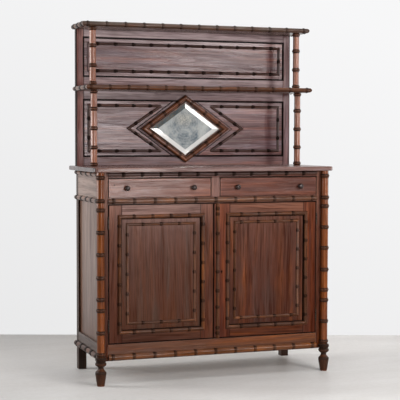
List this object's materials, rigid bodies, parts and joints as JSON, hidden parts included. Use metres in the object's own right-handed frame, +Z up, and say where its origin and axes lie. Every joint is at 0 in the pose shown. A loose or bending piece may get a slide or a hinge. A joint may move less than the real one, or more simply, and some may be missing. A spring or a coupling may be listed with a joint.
{
  "type": "mirror-back cabinet",
  "caption": "Low wooden cabinet with hinged doors below drawers, a worktop, and a framed back with a diamond mirror and open shelves on turned imitation-bamboo posts.",
  "frame": {"origin": "on the floor, under the middle of the worktop's outline", "axes": "+Z up, front towards -Y, back towards +Y, +X to the right of someone facing the front"},
  "size_m": [1.28, 0.539, 1.8063],
  "materials": {
    "pine": "dark reddish-brown stained pine, satin shellac",
    "panel": "stained pine panel, satin shellac, slightly greyed",
    "cane": "orange-brown turned wood with darker knots, satin to gloss",
    "dark": "near-black turned wood, gloss",
    "raw": "plain unfinished pine, matt",
    "silver": "old foxed silvering behind bevelled glass",
    "iron": "dark oxidised metal",
    "brass": "tarnished"
  },
  "bodies": {
    "cabinet": {"worktop": "pine", "rear_leg_left": "pine", "rear_leg_right": "pine", "front_post_left": "pine", "front_post_right": "pine", "side_top_rail_left": "pine", "side_top_rail_right": "pine", "side_bottom_rail_left": "pine", "side_bottom_rail_right": "pine", "front_top_rail": "pine", "front_mid_rail": "pine", "front_bottom_rail": "pine", "drawer_divider": "pine", "upper_back_frame": "pine", "mid_shelf": "pine", "top_board": "pine", "side_panel_left": "panel", "side_panel_right": "panel", "upper_panel": "panel", "lower_panel": "panel", "front_column_left": "cane", "front_column_right": "cane", "mirror_frame": "cane", "lower_post_left": "cane", "lower_post_right": "cane", "upper_post_left": "cane", "upper_post_right": "cane", "shelf_cleat_left": "raw", "shelf_cleat_right": "raw", "bottom_board": "raw", "cupboard_shelf": "raw", "drawer_runner_frame": "raw", "base_back": "raw", "mirror": "silver", "hinge_left_lower_post_leaf": "iron", "hinge_left_upper_post_leaf": "iron", "hinge_right_lower_post_leaf": "iron", "hinge_right_upper_post_leaf": "iron"},
    "drawer_left": {"drawer_left_front": "pine", "drawer_left_box": "raw", "drawer_left_bottom": "raw", "drawer_left_knob_left": "dark", "drawer_left_knob_right": "dark"},
    "drawer_right": {"drawer_right_front": "pine", "drawer_right_box": "raw", "drawer_right_bottom": "raw", "drawer_right_knob_left": "dark", "drawer_right_knob_right": "dark"},
    "door_left": {"door_left_frame": "pine", "door_left_panel": "panel", "door_left_trim": "cane", "hinge_left_lower_door_leaf": "iron", "hinge_left_upper_door_leaf": "iron"},
    "door_right": {"door_right_frame": "pine", "door_right_panel": "panel", "door_right_trim": "cane", "lock_case": "brass", "hinge_right_lower_door_leaf": "iron", "hinge_right_upper_door_leaf": "iron"},
    "lock_bolt": {"lock_bolt": "brass"}
  },
  "joints": [
    {"name": "drawer_left_slide", "type": "slide", "parent": "cabinet", "child": "drawer_left", "axis": [0, -1, 0], "range_m": [0, 0.3]},
    {"name": "drawer_right_slide", "type": "slide", "parent": "cabinet", "child": "drawer_right", "axis": [0, -1, 0], "range_m": [0, 0.3]},
    {"name": "door_left_hinge", "type": "hinge", "parent": "cabinet", "child": "door_left", "pos_m": [-0.56015, -0.2319, 0.5454], "axis": [0, 0, -1], "range_deg": [0, 120]},
    {"name": "door_right_hinge", "type": "hinge", "parent": "cabinet", "child": "door_right", "pos_m": [0.56015, -0.2319, 0.5454], "axis": [0, 0, 1], "range_deg": [0, 120]},
    {"name": "lock_bolt_slide", "type": "slide", "parent": "door_right", "child": "lock_bolt", "axis": [-1, 0, 0], "range_m": [0, 0.01]}
  ]
}
